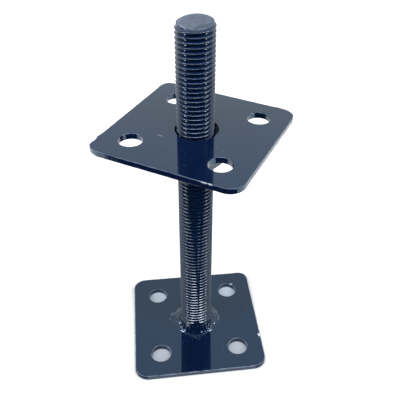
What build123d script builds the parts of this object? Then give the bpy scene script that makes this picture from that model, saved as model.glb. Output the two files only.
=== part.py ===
import os
from math import cos, radians, tan

from build123d import *

# Adjustable post base: a threaded rod welded upright on a base plate, and a loose
# upper plate that rests on a nut. Millimetres, Z up, the base plate's underside at
# Z = 0 and the rod on the Z axis.

# Both plates
plate_side = 100.0
plate_thickness = 4.0
corner_radius = 10.0
edge_rounding = 0.4
bolt_spacing = 60.0
bolt_hole_radius = 7.5

# Rod, thread M24 x 3, drawn as a cylinder of the thread's outer diameter. Its upper end
# is sawn out of square, so the length is the one on the axis.
thread_radius = 12.0
rod_length = 251.0
rod_end_slope = 5.5
rod_end_rises_towards = 70.0
rod_end_chamfer = 3.0

# Weld round the foot of the rod
weld_leg_on_plate = 6.0
weld_leg_on_rod = 10.5
weld_hollow = 0.8

# Upper plate as it stands on the nut: loose on the rod, pushed to one side, turned
upper_face_height = 186.5
upper_plate_play = 2.0
upper_plate_shift = 1.0
upper_plate_turn = -32.0

# Nut under the upper plate
nut_sides = 6
nut_across_flats = 36.0
nut_height = 18.0
nut_turn = 11.2
nut_face_inset = 0.9
nut_chamfer_angle = 30.0
nut_countersink = 0.8
nut_running_clearance = 0.08

# Levels that follow from the sizes above
base_top = plate_thickness
upper_underside = upper_face_height - plate_thickness
nut_underside = upper_underside - nut_height


def drilled_plate(centre_hole_radius=None):
    """Square plate with round corners and four bolt holes, its underside at Z = 0."""
    plate = extrude(RectangleRounded(plate_side, plate_side, corner_radius), plate_thickness)
    rims = plate.faces().filter_by(Axis.Z).edges()
    plate = fillet(rims, edge_rounding)
    holes = Sketch() + GridLocations(bolt_spacing, bolt_spacing, 2, 2) * Circle(bolt_hole_radius)
    if centre_hole_radius:
        holes += Circle(centre_hole_radius)
    return plate - extrude(holes, plate_thickness)


def upper_plate():
    """Plate with a clearance hole for the rod, set down on the nut."""
    plate = drilled_plate(thread_radius + upper_plate_play)
    return Rot(0, 0, upper_plate_turn) * Pos(upper_plate_shift, 0, upper_underside) * plate


def threaded_rod():
    """Rod that stands on the base plate, its upper end sawn at a slope and chamfered."""
    bar = extrude(Pos(0, 0, base_top) * Circle(thread_radius), rod_length + thread_radius)
    slope = Rot(0, 0, rod_end_rises_towards) * Rot(0, -rod_end_slope, 0)
    saw_cut = Plane(Pos(0, 0, base_top + rod_length) * slope)
    rod = split(bar, bisect_by=saw_cut, keep=Keep.BOTTOM)
    upper_rim = rod.edges().sort_by(Axis.Z)[-1]
    return chamfer(upper_rim, rod_end_chamfer)


def base_weld():
    """Fillet weld all round the foot of the rod, with a slightly hollow face."""
    root = (thread_radius, base_top)
    toe = (thread_radius + weld_leg_on_plate, base_top)
    crown = (thread_radius, base_top + weld_leg_on_rod)
    outline = Curve() + [Line(root, toe), SagittaArc(toe, crown, weld_hollow), Line(crown, root)]
    return revolve(Plane.XZ * make_face(outline), Axis.Z)


def adjusting_nut():
    """Hexagon nut, its ends turned to a cone outside and countersunk inside."""
    bore = thread_radius + nut_running_clearance
    mouth = bore + nut_countersink
    face = nut_across_flats / 2 - nut_face_inset
    corner = nut_across_flats / 2 / cos(radians(180 / nut_sides))
    slope = (corner - face) * tan(radians(nut_chamfer_angle))
    lower_end = [(bore, nut_countersink), (mouth, 0), (face, 0), (corner, slope)]
    upper_end = [(radius, nut_height - height) for radius, height in reversed(lower_end)]
    turned = revolve(Plane.XZ * make_face(Polyline(*lower_end, *upper_end, close=True)), Axis.Z)
    first_corner = nut_turn + 180 / nut_sides
    hexagon = RegularPolygon(corner, nut_sides, rotation=first_corner)
    return Pos(0, 0, nut_underside) * (extrude(hexagon, nut_height) & turned)


nodes = {
    "base_plate": drilled_plate(),
    "threaded_rod": threaded_rod(),
    "base_weld": base_weld(),
    "upper_plate": upper_plate(),
    "adjusting_nut": adjusting_nut(),
}
os.makedirs("parts", exist_ok=True)
for name, shape in nodes.items():
    export_step(shape, f"parts/{name}.step")
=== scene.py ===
import math

import bmesh
import bpy
from mathutils import Matrix, Vector, noise


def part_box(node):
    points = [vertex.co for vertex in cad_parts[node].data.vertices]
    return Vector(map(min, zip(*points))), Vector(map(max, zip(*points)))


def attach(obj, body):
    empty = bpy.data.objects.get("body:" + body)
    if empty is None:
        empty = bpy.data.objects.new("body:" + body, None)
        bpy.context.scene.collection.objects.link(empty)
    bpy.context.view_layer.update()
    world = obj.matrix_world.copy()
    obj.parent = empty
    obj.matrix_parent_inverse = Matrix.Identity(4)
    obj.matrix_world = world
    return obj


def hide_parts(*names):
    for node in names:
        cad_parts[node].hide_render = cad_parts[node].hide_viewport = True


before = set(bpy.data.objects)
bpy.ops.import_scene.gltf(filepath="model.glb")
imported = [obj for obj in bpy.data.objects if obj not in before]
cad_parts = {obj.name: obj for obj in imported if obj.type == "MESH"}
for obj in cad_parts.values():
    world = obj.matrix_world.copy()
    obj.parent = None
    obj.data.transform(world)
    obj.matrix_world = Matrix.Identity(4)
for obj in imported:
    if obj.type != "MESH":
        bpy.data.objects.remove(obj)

# An adjustable post base: two drilled plates, a threaded rod welded to the lower one
# and a nut that carries the upper one. Sizes in the dictionaries are in millimetres and
# angles in degrees, unless a note says otherwise. Every object is in metres, with the
# floor at height 0.

mm = 0.001
upright = Vector((0, 0, 1))
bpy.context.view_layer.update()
print("frame loaded")


def toLinear(hexColour):
    parts = [int(hexColour[i:i + 2], 16) / 255 for i in (1, 3, 5)]
    return [c / 12.92 if c <= 0.04045 else ((c + 0.055) / 1.055) ** 2.4 for c in parts] + [1.0]


# Adds a node. An input may be a plain value, a socket, or a node, whose first live output is meant.
def addNode(tree, kind, inputs=(), **settings):
    node = tree.nodes.new(kind)
    for key, value in settings.items():
        setattr(node, key, value)
    for key, value in dict(inputs).items():
        if isinstance(key, int):
            socket = node.inputs[key]
        else:
            socket = next(s for s in node.inputs if s.enabled and s.name == key)
        if isinstance(value, bpy.types.Node):
            value = next(s for s in value.outputs if s.enabled)
        if isinstance(value, bpy.types.NodeSocket):
            tree.links.new(value, socket)
        else:
            socket.default_value = value
    return node


def emptyMaterial(name):
    material = bpy.data.materials.new(name)
    material.use_nodes = True
    material.node_tree.nodes.clear()
    return material


# Gloss enamel sprayed on mild steel. A hard, smooth film: it mirrors the studio sharply
# with a slight blue cast, and the film itself is a navy that looks black in the shade.
# Orange peel and dust nibs break the mirror up a little, and chips show bare steel.
# Lighter rims and some faint steel marks are painted highlights.
enamelBase = {
    "deep": "#040D23", "light": "#071632", "toneSize": 28.0,
    "mirrorTint": "#BCDDF5",   # colour of the head-on reflection
    "refraction": 1.71,        # film with a heavy pigment, above clear varnish's 1.5
    "gloss": 0.02, "dulling": 0.04, "dullSize": 9.0,
    "peelSize": 2.6, "peelDepth": 0.0011,
    "nibSpacing": 4.0, "nibSize": 0.2, "nibShare": 0.3, "nibColour": "#6E7D90",
    "nibStart": 1.6, "nibFull": 0.6,   # in nib sizes from its middle
    # rims are painted lighter: partly rubbed film, partly a painted highlight of the rolled edge
    "rimWearAndSheen": 0.4, "rimWearAndSheenColour": "#8795A8", "rubSize": 4.0, "rubStart": 0.25, "rubFull": 0.65,
    "spotDulling": 0.25,               # of nibs and of rims, rubbed and painted lighter
    "cutSize": 0.9, "cutDepth": 0.03, "cutStretch": 0.12,
    "sawnDulling": 0.36, "sawnColour": "#626C79", "sawnShare": 0.3, "streakSize": 3.0,
    # bare steel of the chips, also mixed in faintly as painted highlights
    "steel": "#D9DCE0", "steelDulling": 0.32, "markDepth": 0.05,
    "raggedSize": 0.9, "raggedness": 0.9, "markStart": 1.55, "markFull": 1.35,   # in mark sizes
}


def enamel(name, marks=(), **changes):
    look = {**enamelBase, **changes}
    tint = {key: toLinear(value) for key, value in look.items() if isinstance(value, str)}
    material = emptyMaterial(name)
    tree = material.node_tree
    place = addNode(tree, "ShaderNodeTexCoord").outputs["Object"]
    details = {"tone": 4.0, "rub": 5.0, "ragged": 3.0, "dull": 3.0, "streak": 3.0, "peel": 2.0}
    clouds = {}
    for use, detail in details.items():
        scale = 1 / (look[use + "Size"] * mm)
        clouds[use] = addNode(tree, "ShaderNodeTexNoise", {"Vector": place, "Scale": scale, "Detail": detail})
    # dust nibs: the nearest cell centre, kept only in some of the cells
    cells = addNode(tree, "ShaderNodeTexVoronoi", {"Vector": place, "Scale": 1 / (look["nibSpacing"] * mm)})
    nibRadius = look["nibSize"] / look["nibSpacing"]
    kept = addNode(tree, "ShaderNodeMath", {0: cells.outputs["Color"], 1: 1 - look["nibShare"]},
                   operation="GREATER_THAN")
    near = addNode(tree, "ShaderNodeMapRange", {
        "Value": cells.outputs["Distance"], "From Min": nibRadius * look["nibStart"],
        "From Max": nibRadius * look["nibFull"]})
    nib = addNode(tree, "ShaderNodeMath", {0: kept, 1: near}, operation="MULTIPLY")
    # rims: the film is thin there and rubbed in places, and a lighter colour along them is a painted
    # highlight of the rolled edge
    rim = addNode(tree, "ShaderNodeAttribute", attribute_name="rim").outputs["Fac"]
    rimPatches = addNode(tree, "ShaderNodeMapRange", {
        "Value": clouds["rub"], "From Min": look["rubStart"], "From Max": look["rubFull"],
        "To Max": look["rimWearAndSheen"]})
    wornRimAndSheen = addNode(tree, "ShaderNodeMath", {0: rim, 1: rimPatches}, operation="MULTIPLY")
    spot = addNode(tree, "ShaderNodeMath", {0: nib, 1: wornRimAndSheen}, operation="MAXIMUM")
    # a sawn face: the film dries dull there and greys in streaks, whose noise averages a half
    sawn = addNode(tree, "ShaderNodeAttribute", attribute_name="sawn").outputs["Fac"]
    faded = addNode(tree, "ShaderNodeMath", {0: sawn, 1: clouds["streak"]}, operation="MULTIPLY")
    faded = addNode(tree, "ShaderNodeMath", {0: faded, 1: 2 * look["sawnShare"]}, operation="MULTIPLY")
    # chips, scratches and painted highlights of faint steel, each an ellipsoid with a ragged edge
    bareSteelAndSheen = None
    for mark in marks:
        local = addNode(tree, "ShaderNodeMapping", {
            "Vector": place, "Location": [c * mm for c in mark["at"]],
            "Rotation": (0, 0, math.radians(mark.get("turn", 0))),
            "Scale": [c * mm for c in mark["size"]]}, vector_type="TEXTURE")
        away = addNode(tree, "ShaderNodeVectorMath", {0: local}, operation="LENGTH").outputs["Value"]
        shaken = addNode(tree, "ShaderNodeMath", {0: clouds["ragged"], 1: look["raggedness"], 2: away},
                         operation="MULTIPLY_ADD")
        inside = addNode(tree, "ShaderNodeMapRange", {
            "Value": shaken, "From Min": look["markStart"], "From Max": look["markFull"],
            "To Max": mark.get("bareSteelAndSheen", 1.0)})
        if bareSteelAndSheen is not None:
            inside = addNode(tree, "ShaderNodeMath", {0: bareSteelAndSheen, 1: inside}, operation="MAXIMUM")
        bareSteelAndSheen = inside
    # colour: cloudy between two navies, with nibs, rubbed rims with a painted highlight, streaks, and bare
    # steel of chips and of painted highlights laid over it
    colour = addNode(tree, "ShaderNodeMix", {"Factor": clouds["tone"], "A": tint["deep"], "B": tint["light"]},
                     data_type="RGBA")
    for share, shade in ((nib, "nibColour"), (wornRimAndSheen, "rimWearAndSheenColour"), (faded, "sawnColour"), (bareSteelAndSheen, "steel")):
        if share is not None:
            colour = addNode(tree, "ShaderNodeMix", {"Factor": share, "A": colour, "B": tint[shade]},
                             data_type="RGBA")
    rough = addNode(tree, "ShaderNodeMath", {0: clouds["dull"], 1: look["dulling"], 2: look["gloss"]},
                    operation="MULTIPLY_ADD")
    for share, dulling in ((spot, "spotDulling"), (sawn, "sawnDulling"), (bareSteelAndSheen, "steelDulling")):
        if share is not None:
            rough = addNode(tree, "ShaderNodeMath", {0: share, 1: look[dulling], 2: rough},
                            operation="MULTIPLY_ADD")
    # orange peel on the film, then upright saw and shear lines on the cut edges, then the chips and painted
    # highlight marks, sunk a little
    surface = addNode(tree, "ShaderNodeBump", {
        "Height": clouds["peel"], "Distance": look["peelDepth"] * mm, "Strength": 1.0})
    wall = addNode(tree, "ShaderNodeAttribute", attribute_name="wall").outputs["Fac"]
    stretched = addNode(tree, "ShaderNodeMapping", {"Vector": place, "Scale": (1.0, 1.0, look["cutStretch"])})
    lines = addNode(tree, "ShaderNodeTexNoise", {
        "Vector": stretched, "Scale": 1 / (look["cutSize"] * mm), "Detail": 4.0})
    cutLines = addNode(tree, "ShaderNodeMath", {0: lines, 1: wall}, operation="MULTIPLY")
    surface = addNode(tree, "ShaderNodeBump", {
        "Height": cutLines, "Distance": look["cutDepth"] * mm, "Strength": 1.0, "Normal": surface})
    if bareSteelAndSheen is not None:
        surface = addNode(tree, "ShaderNodeBump", {
            "Height": bareSteelAndSheen, "Distance": look["markDepth"] * mm, "Normal": surface}, invert=True)
    paint = addNode(tree, "ShaderNodeBsdfPrincipled", {
        "Base Color": colour, "IOR": look["refraction"], "Specular Tint": tint["mirrorTint"],
        "Roughness": rough, "Normal": surface, "Metallic": 0.0 if bareSteelAndSheen is None else bareSteelAndSheen})
    addNode(tree, "ShaderNodeOutputMaterial", {"Surface": paint})
    return material


def newPiece(name, mesh, material, body, node):
    piece = bpy.data.objects.new(name, mesh)
    bpy.context.scene.collection.objects.link(piece)
    if not mesh.materials:
        mesh.materials.append(material)
    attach(piece, body)
    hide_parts(node)


# Both plates: cut from 4 mm sheet, so the rims are rolled a little and the outline wanders.
# Marks are placed in the whole object's frame, burrs in the plate's own before it is turned.
plateSizes = {
    "side": 100.0, "cornerRadius": 10.0, "rim": 0.55, "step": 1.0, "rimSteps": 4,
    "holeRadius": 7.5, "holeSpacing": 60.0, "holeRim": 0.4, "holeSteps": 56, "centreSteps": 96,
    "holeTaper": 0.2,   # by how much a bolt hole's radius is smaller below
    "wander": 0.12, "wanderSize": 7.0, "wanderInwards": 0.6,
    "dish": 0.0,        # how far the top's normals lean to the rod, for each millimetre from it
    "paint": {"peelDepth": 0.002, "rimWearAndSheen": 0.3},
}
basePlate = {
    **plateSizes, "turn": 0.0, "shift": 0.0, "centreHole": 0.0, "seed": 60.0, "holeTaper": 0.45,
    "dish": 0.0009, "paint": {"peelDepth": 0.003, "rimWearAndSheen": 1.0},
    "burrs": [{"at": (47.1, 47.1), "height": 1.4, "width": 9.0}],
    "marks": [
        {"at": (49.0, -21.2, 3.7), "size": (1.1, 1.5, 1.2)},
        {"at": (-50.0, -10.4, 3.2), "size": (0.8, 1.6, 1.2), "bareSteelAndSheen": 0.35},
        {"at": (-50.2, -24.9, 3.2), "size": (0.7, 1.0, 1.0), "bareSteelAndSheen": 0.3},
        {"at": (34.4, 36.2, 3.8), "size": (1.2, 0.8, 0.8), "bareSteelAndSheen": 0.8},
        # the next two are painted highlights: faint steel streaks on the plate beside the weld's toe
        {"at": (-18.5, 8.3, 4.0), "size": (2.8, 1.5, 0.8), "turn": 30, "bareSteelAndSheen": 0.09},
        {"at": (-21.0, 3.5, 4.0), "size": (0.8, 1.8, 0.8), "turn": -20, "bareSteelAndSheen": 0.08},
    ],
}
upperPlate = {
    **plateSizes, "turn": -32.0, "shift": 1.0, "centreHole": 14.0, "seed": 220.0,
    "burrs": [
        {"at": (-49.9, -34.5), "height": 0.6, "width": 2.6},
        {"at": (-49.6, -40.0), "height": -0.5, "width": 3.6},
        {"at": (-48.6, -45.4), "height": 0.8, "width": 5.0},
        {"at": (36.3, 49.9), "height": 0.5, "width": 2.6},
        {"at": (-47.1, 47.1), "height": 1.6, "width": 9.0},
        {"at": (48.6, 45.0), "height": 0.4, "width": 3.0},
    ],
    "marks": [
        {"at": (-22.7, -6.6, 186.5), "size": (1.9, 0.5, 0.8), "turn": -32, "bareSteelAndSheen": 0.16},
        {"at": (-1.3, -58.3, 186.3), "size": (1.8, 0.8, 0.8), "turn": -32, "bareSteelAndSheen": 0.35},
        {"at": (1.9, -60.3, 186.3), "size": (1.5, 0.8, 0.8), "turn": -32, "bareSteelAndSheen": 0.4},
        {"at": (-60.3, -22.9, 184.6), "size": (1.0, 1.0, 0.9), "bareSteelAndSheen": 0.9},
        {"at": (-11.5, 45.6, 186.2), "size": (1.5, 1.1, 0.8), "bareSteelAndSheen": 0.9},
        {"at": (-12.7, 41.3, 184.7), "size": (1.0, 1.0, 1.0), "bareSteelAndSheen": 0.7},
    ],
}


# Points round a square with round corners, counter-clockwise
def roundedSquare(half, radius, step):
    points = []
    straight = half - radius
    along = round(2 * straight / step)
    bend = round(radius * math.pi / 2 / step)
    for quarter in range(4):
        turn = Matrix.Rotation(quarter * math.pi / 2, 2)
        for i in range(along):
            points.append(turn @ Vector((-straight + 2 * straight * i / along, -half)))
        for i in range(bend):
            a = -math.pi / 2 + math.pi / 2 * i / bend
            points.append(turn @ Vector((straight + radius * math.cos(a), -straight + radius * math.sin(a))))
    return points


# Points round a hole, clockwise
def circle(x, y, radius, count):
    points = []
    for i in range(count):
        a = -2 * math.pi * i / count
        points.append(Vector((x + radius * math.cos(a), y + radius * math.sin(a))))
    return points


# Directions out of the sheet, one at each point
def outwards(loop):
    found = []
    for i in range(len(loop)):
        along = loop[(i + 1) % len(loop)] - loop[i - 1]
        found.append(Vector((along.y, -along.x)).normalized())
    return found


def wander(loop, values):
    for i, direction in enumerate(outwards(loop)):
        spot = Vector((loop[i].x, loop[i].y, values["seed"])) / values["wanderSize"]
        loop[i] = loop[i] + direction * (noise.noise(spot) - values["wanderInwards"]) * values["wander"]
    for burr in values["burrs"]:
        for i, direction in enumerate(outwards(loop)):
            gap = (loop[i] - Vector(burr["at"])).length / burr["width"]
            loop[i] = loop[i] + direction * burr["height"] * max(0.0, 1 - gap)
    return loop


# A plate between two heights, with rolled rims. Its normals are set by the shape itself,
# so that the flat faces mirror without a bend near the rims.
def plateMesh(name, low, high, values):
    outline = wander(roundedSquare(values["side"] / 2, values["cornerRadius"], values["step"]), values)
    loops = [(outline, values["rim"], 0.0)]
    apart = values["holeSpacing"] / 2
    for x in (-apart, apart):
        for y in (-apart, apart):
            hole = circle(x, y, values["holeRadius"], values["holeSteps"])
            loops.append((hole, values["holeRim"], values["holeTaper"]))
    if values["centreHole"]:
        hole = circle(0, 0, values["centreHole"], values["centreSteps"])
        loops.append((hole, values["holeRim"], 0.0))
    turn = Matrix.Rotation(math.radians(values["turn"]), 2)
    middle = turn @ Vector((values["shift"], 0.0))
    steps = values["rimSteps"]
    build = bmesh.new()
    normals, walls, rims = [], [], []
    capEdges = {0: [], 1: []}
    for loop, rim, taper in loops:
        rings = []
        directions = outwards(loop)
        for side in (0, 1):   # below and above
            order = range(steps + 1) if side == 0 else range(steps, -1, -1)
            for k in order:
                b = math.pi / 2 * k / steps   # 0 on the flat face, a quarter turn on the wall
                drop = rim * (1 - math.cos(b))
                height = low + drop if side == 0 else high - drop
                inset = rim * (1 - math.sin(b)) - (0.0 if side else taper)
                lean = values["dish"] * math.cos(b) if side else 0.0
                ring = []
                for p, n in zip(loop, directions):
                    flatPlace = middle + turn @ (p - n * inset)
                    facing = turn @ n
                    ring.append(build.verts.new((flatPlace.x * mm, flatPlace.y * mm, height * mm)))
                    normals.append((facing.x * math.sin(b) - lean * flatPlace.x,
                                    facing.y * math.sin(b) - lean * flatPlace.y,
                                    math.cos(b) * (1 if side else -1)))
                    walls.append(1.0 if k == steps else 0.0)
                    rims.append(math.sin(2 * b) ** 2 if side else 0.0)
                rings.append(ring)
        count = len(loop)
        for lower, upper in zip(rings, rings[1:]):
            for i in range(count):
                j = (i + 1) % count
                build.faces.new((lower[i], lower[j], upper[j], upper[i]))
        for side, ring in ((0, rings[0]), (1, rings[-1])):
            capEdges[side] += [build.edges.get((ring[i], ring[(i + 1) % count])) for i in range(count)]
    for side, up in ((0, -1), (1, 1)):
        made = bmesh.ops.triangle_fill(build, use_beauty=True, edges=capEdges[side], normal=(0, 0, up))
        for face in made["geom"]:
            if isinstance(face, bmesh.types.BMFace):
                face.normal_update()
                if face.normal.z * up < 0:
                    face.normal_flip()
    mesh = bpy.data.meshes.new(name)
    build.to_mesh(mesh)
    build.free()
    mesh.polygons.foreach_set("use_smooth", [True] * len(mesh.polygons))
    for label, numbers in (("wall", walls), ("rim", rims)):
        mesh.attributes.new(label, "FLOAT", "POINT").data.foreach_set("value", numbers)
    mesh.normals_split_custom_set_from_vertices(normals)
    return mesh


for node, body, values in (("base_plate", "base", basePlate), ("upper_plate", "upper_plate", upperPlate)):
    lowest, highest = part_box(node)
    platePaint = enamel("blueBlackGlossEnamelOn_" + node, values["marks"], **values["paint"])
    sheet = plateMesh(node + "_steel", lowest.z / mm, highest.z / mm, values)
    newPiece(node + "_steel", sheet, platePaint, body, node)
print("plates done")


# Runs a geometry tree once and keeps the result as a plain mesh
def grow(name, tree, values):
    carrier = bpy.data.objects.new(name, bpy.data.meshes.new(name))
    bpy.context.scene.collection.objects.link(carrier)
    modifier = carrier.modifiers.new("grow", "NODES")
    modifier.node_group = tree
    for item in tree.interface.items_tree:
        if item.item_type == "SOCKET" and item.in_out == "INPUT":
            modifier[item.identifier] = values[item.name]
    shown = carrier.evaluated_get(bpy.context.evaluated_depsgraph_get())
    mesh = bpy.data.meshes.new_from_object(shown)
    carrier.modifiers.remove(modifier)
    bpy.data.objects.remove(carrier)
    return mesh


def newTree(name, values):
    tree = bpy.data.node_groups.new(name, "GeometryNodeTree")
    tree.interface.new_socket("Geometry", in_out="OUTPUT", socket_type="NodeSocketGeometry")
    kinds = {int: "NodeSocketInt", float: "NodeSocketFloat", bpy.types.Material: "NodeSocketMaterial"}
    for label, value in values.items():
        tree.interface.new_socket(label, in_out="INPUT", socket_type=kinds[type(value)])
    return tree, tree.nodes.new("NodeGroupInput").outputs


# The rod: a rolled right-hand M24 thread, its foot inside the weld. Its upper end is sawn
# a little out of square, so Top is the height of the cut on the axis, and filed to a chamfer.
threadValues = {
    "sizes": {
        "Pitch": 3.0, "Crest radius": 12.0, "Root radius": 10.2,
        "Crest share": 0.16, "Root share": 0.16, "Rounding": 0.33,   # shares of half a pitch
        "Foot": 4.6, "Top": 255.0, "Start angle": -2.44,             # radians, as all angles here
        "End slope": math.radians(5.5), "End rises towards": math.radians(70.0),
        "Chamfer": 1.7, "Chamfer swing": 0.8, "Chamfer widest towards": math.radians(160.0),
        "Chamfer rise": 0.55, "Chamfer blend": 0.12,
        "Filed from": -0.1, "Filed full": 0.2,     # depth of the file under the thread's surface
        "Rim line from": 0.2, "Rim line full": 0.05,   # distance below the edge of the cut
        "Unevenness": 0.045, "Uneven size": 2.5, "Seed": 4,
        "Steps per turn": 44, "Steps per pitch": 20, "Spare turns": 3.0, "Spare below": 1.5,
        "Closing": -12.0,   # change of radius for each millimetre past an end
        "Merge distance": 0.003 * mm, "Sharp above": math.radians(32.0),
    },
    "paint": {"deep": "#051229", "light": "#091E3A", "mirrorTint": "#E0EDFA", "refraction": 1.66,
              "gloss": 0.035, "nibShare": 0.5, "peelSize": 1.4, "peelDepth": 0.002, "rimWearAndSheen": 0.5},
}


# A grid is wound up the rod: its long side follows the helix, its short side is one pitch.
# Rows above the top or below the foot are drawn in to the axis and close the ends.
def threadTree(values):
    tree, given = newTree("rolledThread", values)
    reach = addNode(tree, "ShaderNodeMath", {0: given["Top"], 1: given["Foot"]}, operation="SUBTRACT")
    turns = addNode(tree, "ShaderNodeMath", {0: reach, 1: given["Pitch"]}, operation="DIVIDE")
    turns = addNode(tree, "ShaderNodeMath", {0: turns, 1: given["Spare turns"]}, operation="ADD")
    columns = addNode(tree, "ShaderNodeMath", {0: turns, 1: given["Steps per turn"], 2: 1.0},
                      operation="MULTIPLY_ADD")
    rows = addNode(tree, "ShaderNodeMath", {0: given["Steps per pitch"], 1: 1.0}, operation="ADD")
    grid = addNode(tree, "GeometryNodeMeshGrid", {
        "Size X": 1.0, "Size Y": 1.0, "Vertices X": columns, "Vertices Y": rows})
    spot = addNode(tree, "ShaderNodeSeparateXYZ", {0: addNode(tree, "GeometryNodeInputPosition")})
    along = addNode(tree, "ShaderNodeMath", {0: spot.outputs["X"], 1: 0.5}, operation="ADD")
    wound = addNode(tree, "ShaderNodeMath", {0: along, 1: turns}, operation="MULTIPLY")
    angle = addNode(tree, "ShaderNodeMath", {0: wound, 1: 2 * math.pi, 2: given["Start angle"]},
                    operation="MULTIPLY_ADD")
    # height, from some spare pitches below the foot
    raised = addNode(tree, "ShaderNodeMath", {0: wound, 1: spot.outputs["Y"]}, operation="ADD")
    raised = addNode(tree, "ShaderNodeMath", {0: raised, 1: given["Spare below"]}, operation="SUBTRACT")
    free = addNode(tree, "ShaderNodeMath", {0: raised, 1: given["Pitch"], 2: given["Foot"]},
                   operation="MULTIPLY_ADD")
    # the saw cut: its rise for each millimetre from the axis
    fromRise = addNode(tree, "ShaderNodeMath", {0: angle, 1: given["End rises towards"]},
                       operation="SUBTRACT")
    fromRise = addNode(tree, "ShaderNodeMath", {0: fromRise}, operation="COSINE")
    slope = addNode(tree, "ShaderNodeMath", {0: given["End slope"]}, operation="TANGENT")
    slope = addNode(tree, "ShaderNodeMath", {0: slope, 1: fromRise}, operation="MULTIPLY")
    # the chamfer is filed by hand and wider on one side, and its rim is the edge of the cut
    fromWidest = addNode(tree, "ShaderNodeMath", {0: angle, 1: given["Chamfer widest towards"]},
                         operation="SUBTRACT")
    fromWidest = addNode(tree, "ShaderNodeMath", {0: fromWidest}, operation="COSINE")
    filed = addNode(tree, "ShaderNodeMath", {0: fromWidest, 1: given["Chamfer swing"], 2: given["Chamfer"]},
                    operation="MULTIPLY_ADD")
    rimRadius = addNode(tree, "ShaderNodeMath", {0: given["Crest radius"], 1: filed}, operation="SUBTRACT")
    rimHeight = addNode(tree, "ShaderNodeMath", {0: slope, 1: rimRadius, 2: given["Top"]},
                        operation="MULTIPLY_ADD")
    height = addNode(tree, "ShaderNodeMath", {0: free, 1: rimHeight}, operation="MINIMUM")
    height = addNode(tree, "ShaderNodeMath", {0: height, 1: given["Foot"]}, operation="MAXIMUM")
    # profile of one pitch: crest in the middle, flanks of about 30 degrees, roots at both sides
    fromCrest = addNode(tree, "ShaderNodeMath", {0: spot.outputs["Y"]}, operation="ABSOLUTE")
    fromCrest = addNode(tree, "ShaderNodeMath", {0: fromCrest, 1: 2.0}, operation="MULTIPLY")
    rootFrom = addNode(tree, "ShaderNodeMath", {0: 1.0, 1: given["Root share"]}, operation="SUBTRACT")
    flank = addNode(tree, "ShaderNodeMapRange", {
        "Value": fromCrest, "From Min": given["Crest share"], "From Max": rootFrom}, clamp=False)
    flank = addNode(tree, "ShaderNodeMath", {0: flank, 1: 0.0, 2: given["Rounding"]}, operation="SMOOTH_MAX")
    flank = addNode(tree, "ShaderNodeMath", {0: flank, 1: 1.0, 2: given["Rounding"]}, operation="SMOOTH_MIN")
    depth = addNode(tree, "ShaderNodeMath", {0: given["Root radius"], 1: given["Crest radius"]},
                    operation="SUBTRACT")
    radius = addNode(tree, "ShaderNodeMath", {0: depth, 1: flank, 2: given["Crest radius"]},
                     operation="MULTIPLY_ADD")
    # the film runs a little and fills the thread unevenly
    across = addNode(tree, "ShaderNodeMath", {0: angle}, operation="COSINE")
    aside = addNode(tree, "ShaderNodeMath", {0: angle}, operation="SINE")
    around = addNode(tree, "ShaderNodeCombineXYZ", {0: across, 1: aside})
    around = addNode(tree, "ShaderNodeVectorMath", {0: around, "Scale": given["Crest radius"]},
                     operation="SCALE")
    lifted = addNode(tree, "ShaderNodeCombineXYZ", {2: height})
    skin = addNode(tree, "ShaderNodeVectorMath", {0: around, 1: lifted}, operation="ADD")
    fineness = addNode(tree, "ShaderNodeMath", {0: 1.0, 1: given["Uneven size"]}, operation="DIVIDE")
    runs = addNode(tree, "ShaderNodeTexNoise", {
        "Vector": skin, "W": given["Seed"], "Scale": fineness, "Detail": 2.0}, noise_dimensions="4D")
    runs = addNode(tree, "ShaderNodeMath", {0: runs, 1: 1.0}, operation="SUBTRACT")
    radius = addNode(tree, "ShaderNodeMath", {0: runs, 1: given["Unevenness"], 2: radius},
                     operation="MULTIPLY_ADD")
    # chamfer at the top, and both ends closed
    toTop = addNode(tree, "ShaderNodeMath", {0: rimHeight, 1: height}, operation="SUBTRACT")
    spread = addNode(tree, "ShaderNodeMath", {0: toTop, 1: given["Chamfer rise"]}, operation="DIVIDE")
    cone = addNode(tree, "ShaderNodeMath", {0: rimRadius, 1: spread}, operation="ADD")
    above = addNode(tree, "ShaderNodeMath", {0: radius, 1: cone}, operation="SUBTRACT")
    sawn = addNode(tree, "ShaderNodeMapRange", {
        "Value": above, "From Min": given["Filed from"], "From Max": given["Filed full"]})
    radius = addNode(tree, "ShaderNodeMath", {0: radius, 1: cone, 2: given["Chamfer blend"]},
                     operation="SMOOTH_MIN")
    rowStep = addNode(tree, "ShaderNodeMath", {0: given["Pitch"], 1: given["Steps per pitch"]},
                      operation="DIVIDE")
    past = addNode(tree, "ShaderNodeMath", {0: free, 1: height}, operation="SUBTRACT")
    past = addNode(tree, "ShaderNodeMath", {0: past}, operation="ABSOLUTE")
    past = addNode(tree, "ShaderNodeMath", {0: past, 1: rowStep}, operation="SUBTRACT")
    past = addNode(tree, "ShaderNodeMath", {0: past, 1: 0.0}, operation="MAXIMUM")
    drawnIn = addNode(tree, "ShaderNodeMath", {0: past, 1: given["Closing"], 2: rimRadius},
                      operation="MULTIPLY_ADD")
    isPast = addNode(tree, "ShaderNodeMath", {0: past, 1: 0.0}, operation="GREATER_THAN")
    closing = addNode(tree, "ShaderNodeMath", {0: radius, 1: drawnIn}, operation="MINIMUM")
    radius = addNode(tree, "GeometryNodeSwitch", {"Switch": isPast, "False": radius, "True": closing},
                     input_type="FLOAT")
    radius = addNode(tree, "ShaderNodeMath", {0: radius, 1: 0.0}, operation="MAXIMUM")
    onCut = addNode(tree, "ShaderNodeMath", {0: slope, 1: radius, 2: given["Top"]}, operation="MULTIPLY_ADD")
    isAbove = addNode(tree, "ShaderNodeMath", {0: free, 1: height}, operation="GREATER_THAN")
    isOnCut = addNode(tree, "ShaderNodeMath", {0: isPast, 1: isAbove}, operation="MULTIPLY")
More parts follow.
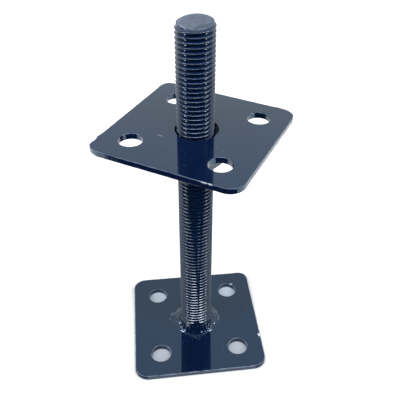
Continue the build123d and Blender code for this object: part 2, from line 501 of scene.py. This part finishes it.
    height = addNode(tree, "GeometryNodeSwitch", {"Switch": isOnCut, "False": height, "True": onCut},
                     input_type="FLOAT")
    x = addNode(tree, "ShaderNodeMath", {0: across, 1: radius}, operation="MULTIPLY")
    y = addNode(tree, "ShaderNodeMath", {0: aside, 1: radius}, operation="MULTIPLY")
    wrapped = addNode(tree, "ShaderNodeCombineXYZ", {0: x, 1: y, 2: height})
    inMetres = addNode(tree, "ShaderNodeVectorMath", {0: wrapped, "Scale": mm}, operation="SCALE")
    # the film is thin on the edge between the cut and the chamfer, and a lighter colour there is a painted
    # highlight of the edge
    edge = addNode(tree, "ShaderNodeMapRange", {
        "Value": toTop, "From Min": given["Rim line from"], "From Max": given["Rim line full"]})
    edge = addNode(tree, "GeometryNodeSwitch", {"Switch": isOnCut, "False": edge, "True": 0.0},
                   input_type="FLOAT")
    shape = grid
    for label, strength in (("sawn", sawn), ("rim", edge)):
        shape = addNode(tree, "GeometryNodeStoreNamedAttribute", {
            "Geometry": shape, "Name": label, "Value": strength}, data_type="FLOAT", domain="POINT")
    shape = addNode(tree, "GeometryNodeSetPosition", {"Geometry": shape, "Position": inMetres})
    shape = addNode(tree, "GeometryNodeMergeByDistance", {
        "Geometry": shape, "Distance": given["Merge distance"]})
    shape = addNode(tree, "GeometryNodeSetShadeSmooth", {"Geometry": shape})
    bendAngle = addNode(tree, "GeometryNodeInputMeshEdgeAngle")
    isSharp = addNode(tree, "FunctionNodeCompare", {0: bendAngle, 1: given["Sharp above"]},
                      operation="GREATER_THAN")
    shape = addNode(tree, "GeometryNodeSetShadeSmooth", {
        "Geometry": shape, "Selection": isSharp, "Shade Smooth": False}, domain="EDGE")
    shape = addNode(tree, "GeometryNodeRealizeInstances", {"Geometry": shape})
    shape = addNode(tree, "GeometryNodeSetMaterial", {"Geometry": shape, "Material": given["Finish"]})
    addNode(tree, "NodeGroupOutput", {0: shape})
    return tree


threadPaint = enamel("blueBlackGlossEnamelOnThread", **threadValues["paint"])
threadInputs = {**threadValues["sizes"], "Finish": threadPaint}
threadMesh = grow("threaded_rod_steel", threadTree(threadInputs), threadInputs)
newPiece("threaded_rod_steel", threadMesh, threadPaint, "base", "threaded_rod")
print("thread done", len(threadMesh.polygons))


# Joins closed columns of points, which stand one after another round the rod, to a closed
# ring. Edges that bend by less than the sharp angle are smooth.
def ringMesh(name, columns, sharpAngle):
    build = bmesh.new()
    columns = [[build.verts.new(point) for point in column] for column in columns]
    for i in range(len(columns)):
        one, two = columns[i], columns[(i + 1) % len(columns)]
        for k in range(len(one)):
            n = (k + 1) % len(one)
            build.faces.new((one[k], two[k], two[n], one[n]))
    bmesh.ops.recalc_face_normals(build, faces=build.faces)
    for edge in build.edges:
        edge.smooth = edge.calc_face_angle(0) < math.radians(sharpAngle)
    mesh = bpy.data.meshes.new(name)
    build.to_mesh(mesh)
    build.free()
    mesh.polygons.foreach_set("use_smooth", [True] * len(mesh.polygons))
    return mesh


# The weld: one pass of bead round the foot, narrow in front and spread at the back and sides.
# Its face runs from the toe on the plate to the crown on the rod. Waves say how fast the
# noise changes on the way round, and a seed is a place in the noise.
weldValues = {
    "inside": 9.8, "onRod": 11.6,
    "crown": 14.4, "crownDrop": 6.2, "crownPower": 0.4,   # the crown drops at the sides and back
    "crownWander": 0.5, "crownWaves": 3.1, "crownSeed": (2, 9, 4),
    "toe": 18.3, "toeBack": 1.9, "toeRight": 0.5, "toeSides": 0.8, "toeFillet": 0.05,
    "toeWander": 0.45, "toeWaves": 2.3, "toeSeed": (5, 1, 8),
    "hollow": 0.9, "lumps": 0.34, "lumpSize": 1.7,
    "ripple": 0.19, "ripples": 30, "rippleLean": 2.2, "rippleJitter": 1.5, "rippleWaves": 4.0,
    "swellOut": 0.83, "swellUp": 0.55, "toeFade": 4.0, "crownFade": 3.0, "crownLeast": 0.3,
    "aroundSteps": 240, "faceSteps": 26, "facePower": 1.5, "sharpAngle": 60.0,
    "paint": {"nibShare": 0.6, "nibSpacing": 2.2, "nibSize": 0.14, "peelSize": 0.9, "peelDepth": 0.02,
              "gloss": 0.06, "mirrorTint": "#C8E5FB"},
    "marks": [
        # all these marks are painted highlights: faint steel streaks on the plate beside the toe, and a steel
        # patch and specks on the bead's front
        {"at": (-15.0, 10.5, 4.2), "size": (5.5, 1.5, 1.2), "turn": 41, "bareSteelAndSheen": 0.09},
        {"at": (16.9, 7.7, 4.2), "size": (4.6, 0.6, 1.0), "turn": -69, "bareSteelAndSheen": 0.14},
        {"at": (18.6, 0.2, 4.2), "size": (3.6, 0.5, 1.0), "turn": -92, "bareSteelAndSheen": 0.12},
        {"at": (15.4, 4.5, 5.0), "size": (3.4, 0.5, 1.4), "turn": -75, "bareSteelAndSheen": 0.08},
        {"at": (-8.6, -10.0, 10.4), "size": (2.8, 1.4, 2.2), "turn": -40, "bareSteelAndSheen": 0.3},
        {"at": (7.6, -9.7, 12.3), "size": (0.6, 0.8, 0.9), "bareSteelAndSheen": 0.8},
        {"at": (9.3, -10.4, 8.6), "size": (0.6, 0.8, 1.5), "bareSteelAndSheen": 0.8},
    ],
}


def weldMesh(name, plateTop, values):
    columns = []
    for i in range(values["aroundSteps"]):
        a = 2 * math.pi * i / values["aroundSteps"]
        direction = Vector((math.cos(a), math.sin(a), 0))
        toe = values["toe"] + values["toeBack"] * math.sin(a) + values["toeRight"] * math.cos(a)
        toe += values["toeSides"] * math.cos(2 * a)
        toe += values["toeWander"] * noise.noise(direction * values["toeWaves"] + Vector(values["toeSeed"]))
        shake = noise.noise(direction * values["crownWaves"] + Vector(values["crownSeed"]))
        crown = values["crown"] + values["crownWander"] * shake
        crown -= values["crownDrop"] * (0.5 + 0.5 * math.sin(a)) ** values["crownPower"]
        jitter = values["rippleJitter"] * noise.noise(direction * values["rippleWaves"])
        phase = a * values["ripples"] + jitter
        column = [(values["inside"], plateTop)]
        for k in range(values["faceSteps"] + 1):
            s = (k / values["faceSteps"]) ** values["facePower"]   # 0 at the toe, 1 at the crown
            r = toe + (values["onRod"] - toe) * s
            flare = values["toeFillet"] * (1 - math.exp(-s / values["toeFillet"]))
            z = plateTop + (crown - plateTop) * (s - flare)
            belly = math.sin(math.pi * s)
            spot = Vector((direction.x * r, direction.y * r, z)) / values["lumpSize"]
            swell = values["lumps"] * noise.noise(spot) - values["hollow"] * belly
            swell += values["ripple"] * math.sin(phase + values["rippleLean"] * s) * belly
            swell *= min(1.0, values["toeFade"] * s)
            swell *= min(1.0, values["crownLeast"] + values["crownFade"] * (1 - s))
            column.append((r + swell * values["swellOut"], z + swell * values["swellUp"]))
        column.append((values["inside"], crown))
        columns.append([(direction.x * r * mm, direction.y * r * mm, z * mm) for r, z in column])
    return ringMesh(name, columns, values["sharpAngle"])


# Spatter: drops thrown off by the weld, scattered on the plate round it and painted over.
spatterSizes = {
    "Count": 46, "Nearest": 17.5, "Spread": 9.0, "Crowding": 2.0,
    "Smallest": 0.12, "Largest": 0.5, "Flatness": 0.55, "Subdivisions": 3, "Seed": 21,
}


def spatterTree(values):
    tree, given = newTree("weldSpatter", values)
    drops = addNode(tree, "GeometryNodePoints", {"Count": given["Count"]})
    # angle, distance and size are each drawn with a seed of their own
    seedB = addNode(tree, "ShaderNodeMath", {0: given["Seed"], 1: 1.0}, operation="ADD")
    seedC = addNode(tree, "ShaderNodeMath", {0: given["Seed"], 1: 2.0}, operation="ADD")
    angle = addNode(tree, "FunctionNodeRandomValue", {
        "Min": 0.0, "Max": 2 * math.pi, "Seed": given["Seed"]}, data_type="FLOAT")
    chance = addNode(tree, "FunctionNodeRandomValue", {
        "Min": 0.0, "Max": 1.0, "Seed": seedB}, data_type="FLOAT")
    size = addNode(tree, "FunctionNodeRandomValue", {
        "Min": given["Smallest"], "Max": given["Largest"], "Seed": seedC}, data_type="FLOAT")
    crowded = addNode(tree, "ShaderNodeMath", {0: chance, 1: given["Crowding"]}, operation="POWER")
    radius = addNode(tree, "ShaderNodeMath", {0: crowded, 1: given["Spread"], 2: given["Nearest"]},
                     operation="MULTIPLY_ADD")
    across = addNode(tree, "ShaderNodeMath", {0: angle}, operation="COSINE")
    aside = addNode(tree, "ShaderNodeMath", {0: angle}, operation="SINE")
    x = addNode(tree, "ShaderNodeMath", {0: across, 1: radius}, operation="MULTIPLY")
    y = addNode(tree, "ShaderNodeMath", {0: aside, 1: radius}, operation="MULTIPLY")
    flatSpot = addNode(tree, "ShaderNodeCombineXYZ", {0: x, 1: y, 2: given["Plate top"]})
    inMetres = addNode(tree, "ShaderNodeVectorMath", {0: flatSpot, "Scale": mm}, operation="SCALE")
    laid = addNode(tree, "GeometryNodeSetPosition", {"Geometry": drops, "Position": inMetres})
    ball = addNode(tree, "GeometryNodeMeshIcoSphere", {
        "Radius": mm, "Subdivisions": given["Subdivisions"]})
    ball = addNode(tree, "GeometryNodeSetShadeSmooth", {"Geometry": ball})
    thin = addNode(tree, "ShaderNodeMath", {0: size, 1: given["Flatness"]}, operation="MULTIPLY")
    shape = addNode(tree, "ShaderNodeCombineXYZ", {0: size, 1: size, 2: thin})
    placed = addNode(tree, "GeometryNodeInstanceOnPoints", {"Points": laid, "Instance": ball, "Scale": shape})
    real = addNode(tree, "GeometryNodeRealizeInstances", {"Geometry": placed})
    painted = addNode(tree, "GeometryNodeSetMaterial", {"Geometry": real, "Material": given["Finish"]})
    addNode(tree, "NodeGroupOutput", {0: painted})
    return tree


weldPaint = enamel("blueBlackGlossEnamelOnWeld", weldValues["marks"], **weldValues["paint"])
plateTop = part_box("base_plate")[1].z / mm
beadMesh = weldMesh("foot_weld_bead", plateTop, weldValues)
newPiece("foot_weld_bead", beadMesh, weldPaint, "base", "base_weld")
spatterInputs = {**spatterSizes, "Plate top": plateTop, "Finish": weldPaint}
spatterMesh = grow("weld_spatter", spatterTree(spatterInputs), spatterInputs)
newPiece("weld_spatter", spatterMesh, weldPaint, "base", "base_weld")
print("weld done")


# The nut: a hexagon turned to a cone at both ends, countersunk for the thread.
nutValues = {
    "acrossFlats": 36.0, "faceInset": 0.9, "coneAngle": 30.0, "turn": 11.2,
    "bore": 12.06, "countersink": 0.8, "cornerLoss": 0.525,
    "lipInside": 0.15, "lipOutside": 0.1, "lipHeight": 0.06,   # the worn edge of an end face
    "stepsPerFlat": 20, "sharpAngle": 24.0,
    "paint": {"nibShare": 0.5, "gloss": 0.08, "dulling": 0.1},
}


def nutMesh(name, low, high, values):
    half = values["acrossFlats"] / 2
    face = half - values["faceInset"]
    corner = half / math.cos(math.radians(30)) - values["cornerLoss"]
    slope = math.tan(math.radians(values["coneAngle"]))
    mouth = values["bore"] + values["countersink"]
    count = 6 * values["stepsPerFlat"]
    columns = []
    for i in range(count):
        a = 2 * math.pi * i / count
        off = (math.degrees(a) + 30) % 60 - 30   # degrees from the middle of the nearest flat
        outer = min(half / math.cos(math.radians(off)), corner)
        end = [(values["bore"], values["countersink"]), (mouth, 0), (face - values["lipInside"], 0),
               (face + values["lipOutside"], values["lipHeight"]), (outer, (outer - face) * slope)]
        column = [(r, low + z) for r, z in end] + [(r, high - z) for r, z in reversed(end)]
        a += math.radians(values["turn"])
        columns.append([(math.cos(a) * r * mm, math.sin(a) * r * mm, z * mm) for r, z in column])
    return ringMesh(name, columns, values["sharpAngle"])


nutLow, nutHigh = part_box("adjusting_nut")
nutPaint = enamel("blueBlackGlossEnamelOnNut", **nutValues["paint"])
hexagon = nutMesh("adjusting_nut_steel", nutLow.z / mm, nutHigh.z / mm, nutValues)
newPiece("adjusting_nut_steel", hexagon, nutPaint, "nut", "adjusting_nut")
print("nut done")


# 1 for what the camera, a mirror or glass sees, 0 for the light that falls on things
def seenShare(tree):
    ray = addNode(tree, "ShaderNodeLightPath").outputs
    seen = addNode(tree, "ShaderNodeMath", {0: ray["Is Camera Ray"], 1: ray["Is Glossy Ray"]},
                   operation="MAXIMUM")
    return addNode(tree, "ShaderNodeMath", {0: seen, 1: ray["Is Transmission Ray"]}, operation="MAXIMUM")


# A white paper floor. A glow that is only seen, and lights nothing, lifts it to paper white
# and leaves its shadow. The glow fades out towards the base plate, so that the bolt holes and
# the front edge keep their shade. Under the plate the paper is tinted with a painted shade,
# blue-grey and darker in front, which the bolt holes show.
floorValues = {
    "reach": 3000.0, "paper": "#E6E6E6", "grain": 1.5, "grainDepth": 0.01,
    "shadedFront": "#9CA3AE", "shadedBack": "#BFCDDA", "shadedHalf": 20.0,
    "plateHalf": 50.0, "cornerRadius": 10.0, "shadeInside": 1.0, "shadeOutside": 2.0,
    "fade": 5.0, "farAway": 450.0, "leastLift": 0.0, "nearLift": 0.3, "farLift": 0.8,
}


def makeFloor(values):
    reach = values["reach"] * mm
    corners = [(-reach, -reach, 0), (reach, -reach, 0), (reach, reach, 0), (-reach, reach, 0)]
    mesh = bpy.data.meshes.new("paperFloor")
    mesh.from_pydata(corners, [], [(0, 1, 2, 3)])
    floor = bpy.data.objects.new("paperFloor", mesh)
    bpy.context.scene.collection.objects.link(floor)
    material = emptyMaterial("mattWhitePaper")   # uncoated background paper, pressed smooth
    tree = material.node_tree
    place = addNode(tree, "ShaderNodeTexCoord").outputs["Object"]
    grain = addNode(tree, "ShaderNodeTexNoise", {"Vector": place, "Scale": 1 / (values["grain"] * mm)})
    bump = addNode(tree, "ShaderNodeBump", {"Height": grain, "Distance": values["grainDepth"] * mm})
    # distance from a square inside the plate, so that the shade has round corners too
    square = (values["plateHalf"] - values["cornerRadius"]) * mm
    spot = addNode(tree, "ShaderNodeVectorMath", {0: place}, operation="ABSOLUTE")
    spot = addNode(tree, "ShaderNodeVectorMath", {0: spot, 1: (square, square, 0)}, operation="SUBTRACT")
    spot = addNode(tree, "ShaderNodeVectorMath", {0: spot, 1: (0, 0, 0)}, operation="MAXIMUM")
    away = addNode(tree, "ShaderNodeVectorMath", {0: spot}, operation="LENGTH").outputs["Value"]
    edge = values["cornerRadius"] * mm
    unshaded = addNode(tree, "ShaderNodeMapRange", {
        "Value": away, "From Min": edge - values["shadeInside"] * mm,
        "From Max": edge + values["shadeOutside"] * mm})
    # painted shade under the plate, darker in front
    half = values["shadedHalf"] * mm
    fromFront = addNode(tree, "ShaderNodeSeparateXYZ", {0: place}).outputs["Y"]
    fromFront = addNode(tree, "ShaderNodeMapRange", {"Value": fromFront, "From Min": -half, "From Max": half})
    shade = addNode(tree, "ShaderNodeMix", {
        "Factor": fromFront, "A": toLinear(values["shadedFront"]), "B": toLinear(values["shadedBack"])},
        data_type="RGBA")
    tone = addNode(tree, "ShaderNodeMix", {
        "Factor": unshaded, "A": shade, "B": toLinear(values["paper"])}, data_type="RGBA")
    paper = addNode(tree, "ShaderNodeBsdfDiffuse", {"Color": tone, "Normal": bump})
    outer = edge + values["fade"] * mm
    nearLift = addNode(tree, "ShaderNodeMapRange", {
        "Value": away, "From Min": edge, "From Max": outer,
        "To Min": values["leastLift"], "To Max": values["nearLift"]})
    farLift = addNode(tree, "ShaderNodeMapRange", {
        "Value": away, "From Min": outer, "From Max": values["farAway"] * mm,
        "To Max": values["farLift"] - values["nearLift"]})
    lift = addNode(tree, "ShaderNodeMath", {0: nearLift, 1: farLift}, operation="ADD")
    strength = addNode(tree, "ShaderNodeMath", {0: seenShare(tree), 1: lift}, operation="MULTIPLY")
    glow = addNode(tree, "ShaderNodeEmission", {"Color": (1, 1, 1, 1), "Strength": strength})
    both = addNode(tree, "ShaderNodeAddShader", {0: paper, 1: glow})
    addNode(tree, "ShaderNodeOutputMaterial", {"Surface": both})
    mesh.materials.append(material)


makeFloor(floorValues)
print("floor done")

# The studio is a white light tent. Strips of lamps round its mouth give most of the light,
# and the paint mirrors them as fine lines on the thread. The sky and two fills are soft and
# weak, and no mirror shows the fills. Black card is for mirrors alone: a fan of it lies on
# the floor in front of the part, and a sheet of it fills the tent's mouth behind the strips.
# Azimuths are in degrees from the front, to the right. Lengths are in metres here.
studioValues = {
    "skyLight": 0.1, "tent": "#F3FBFF", "tentRadiance": 1.07, "mouthAzimuth": -5.5,
    "aimHeight": 0.12, "lampColour": "#FFFFFF",
    "fills": {"leftFill": -50, "rightFill": 40},   # azimuths
    "fillElevation": 35, "fillDistance": 2.4, "fillSize": 0.8, "fillRadiance": 0.6,
}
stripValues = {
    "forward": 0.235, "halfWidth": 0.65, "height": 0.68, "topWidth": 0.09, "topRadiance": 17.5,
    "sideFrom": 0.19, "sideTo": 0.6, "sideWidth": 0.045, "sideRadiance": 38.0,
}
cardValues = {
    "black": "#0A0A0C", "floorEdge": 0.065, "steps": 24,
    "fan": [(-69.0, 36.5, 1.3), (36.5, 78.0, 0.24)],   # from and to azimuth, radius
    "fanHeight": 0.002, "sheetFrom": 0.003, "sheetHalf": 0.9, "behind": 0.012,
}


def towards(azimuth, elevation):
    a, e = math.radians(azimuth), math.radians(elevation)
    return Vector((math.sin(a) * math.cos(e), -math.cos(a) * math.cos(e), math.sin(e)))


# A rectangular lamp at a place, facing another place, with its width level
def addLamp(name, place, target, width, height, radiance, colour):
    light = bpy.data.lights.new(name, "AREA")
    light.shape = "RECTANGLE"
    light.size, light.size_y = width, height
    light.color = toLinear(colour)[:3]
    light.energy = radiance * 4 * width * height   # 4 watts a square metre give a radiance of 1
    lamp = bpy.data.objects.new(name, light)
    bpy.context.scene.collection.objects.link(lamp)
    lamp.visible_camera = False
    back = (place - target).normalized()
    side = upright.cross(back).normalized()
    axes = Matrix((side, back.cross(side), back)).transposed()
    lamp.matrix_world = Matrix.Translation(place) @ axes.to_4x4()
    return lamp


def makeStudio(values, strips):
    world = bpy.data.worlds.new("whiteStudio")
    bpy.context.scene.world = world
    world.use_nodes = True
    tree = world.node_tree
    tree.nodes.clear()
    glossy = addNode(tree, "ShaderNodeLightPath").outputs["Is Glossy Ray"]
    lit = addNode(tree, "ShaderNodeBackground", {"Color": (1, 1, 1, 1), "Strength": values["skyLight"]})
    white = addNode(tree, "ShaderNodeBackground", {"Color": (1, 1, 1, 1), "Strength": 1.0})
    tent = addNode(tree, "ShaderNodeBackground", {
        "Color": toLinear(values["tent"]), "Strength": values["tentRadiance"]})
    both = addNode(tree, "ShaderNodeMixShader", {0: seenShare(tree), 1: lit, 2: white})
    both = addNode(tree, "ShaderNodeMixShader", {0: glossy, 1: both, 2: tent})
    addNode(tree, "ShaderNodeOutputWorld", {"Surface": both})
    aim = upright * values["aimHeight"]
    colour = values["lampColour"]
    size = values["fillSize"]
    for name, azimuth in values["fills"].items():
        place = aim + towards(azimuth, values["fillElevation"]) * values["fillDistance"]
        lamp = addLamp(name, place, aim, size, size, values["fillRadiance"], colour)
        lamp.visible_glossy = False
    ahead = towards(values["mouthAzimuth"], 0)
    across = upright.cross(-ahead)
    wide, low, high = strips["halfWidth"], strips["sideFrom"], strips["sideTo"]
    for name, side in (("leftStrip", 1), ("rightStrip", -1)):
        place = ahead * strips["forward"] + across * side * wide + upright * (low + high) / 2
        addLamp(name, place, aim, strips["sideWidth"], high - low, strips["sideRadiance"], colour)
    place = ahead * strips["forward"] + upright * strips["height"]
    addLamp("topStrip", place, aim, 2 * wide, strips["topWidth"], strips["topRadiance"], colour)


def makeCard(values, strips, mouthAzimuth):
    points, faces = [], []
    for low, high, radius in values["fan"]:
        for j in range(values["steps"] + 1):
            flat = towards(low + (high - low) * j / values["steps"], 0)
            for reach in (values["floorEdge"], radius):
                points.append(tuple(flat * reach + upright * values["fanHeight"]))
            if j:
                last = len(points)
                faces.append((last - 4, last - 2, last - 1, last - 3))
    ahead = towards(mouthAzimuth, 0)
    across = upright.cross(-ahead)
    first = len(points)
    low, high = values["sheetFrom"], strips["height"]
    for side, height in ((-1, low), (1, low), (1, high), (-1, high)):
        place = ahead * (strips["forward"] + values["behind"]) + across * side * values["sheetHalf"]
        points.append(tuple(place + upright * height))
    faces.append((first, first + 1, first + 2, first + 3))
    mesh = bpy.data.meshes.new("blackCard")
    mesh.from_pydata(points, [], faces)
    card = bpy.data.objects.new("blackCard", mesh)
    bpy.context.scene.collection.objects.link(card)
    material = emptyMaterial("mattBlackCard")   # velour-faced card that swallows light
    tree = material.node_tree
    velour = addNode(tree, "ShaderNodeBsdfDiffuse", {"Color": toLinear(values["black"])})
    addNode(tree, "ShaderNodeOutputMaterial", {"Surface": velour})
    mesh.materials.append(material)
    card.visible_camera = False
    card.visible_diffuse = False
    card.visible_shadow = False
    card.visible_transmission = False


makeStudio(studioValues, stripValues)
makeCard(cardValues, stripValues, studioValues["mouthAzimuth"])
print("studio done")

# The camera stands in front, a little to the left, and looks down on the part.
cameraValues = {
    "place": (-29.29, -302.03, 365.24), "target": (28.97, 45.35, 100.0), "roll": 2.252,
    "lens": 49.945, "sensor": 36.0, "nearest": 10.0, "farthest": 20000.0,
    "shift": (-0.0663, -0.0199),   # shares of the picture's width
}


def makeCamera(values):
    data = bpy.data.cameras.new("camera")
    data.lens = values["lens"]
    data.sensor_width = values["sensor"]
    data.shift_x, data.shift_y = values["shift"]
    data.clip_start = values["nearest"] * mm
    data.clip_end = values["farthest"] * mm
    camera = bpy.data.objects.new("camera", data)
    bpy.context.scene.collection.objects.link(camera)
    place = Vector(values["place"]) * mm
    back = (place - Vector(values["target"]) * mm).normalized()
    right = upright.cross(back).normalized()
    up = back.cross(right)
    c, s = math.cos(math.radians(values["roll"])), math.sin(math.radians(values["roll"]))
    axes = Matrix((right * c + up * s, up * c - right * s, back)).transposed()
    camera.matrix_world = Matrix.Translation(place) @ axes.to_4x4()
    bpy.context.scene.camera = camera


makeCamera(cameraValues)
bpy.context.scene.view_settings.view_transform = "Standard"

bpy.context.view_layer.update()
print("scene done")
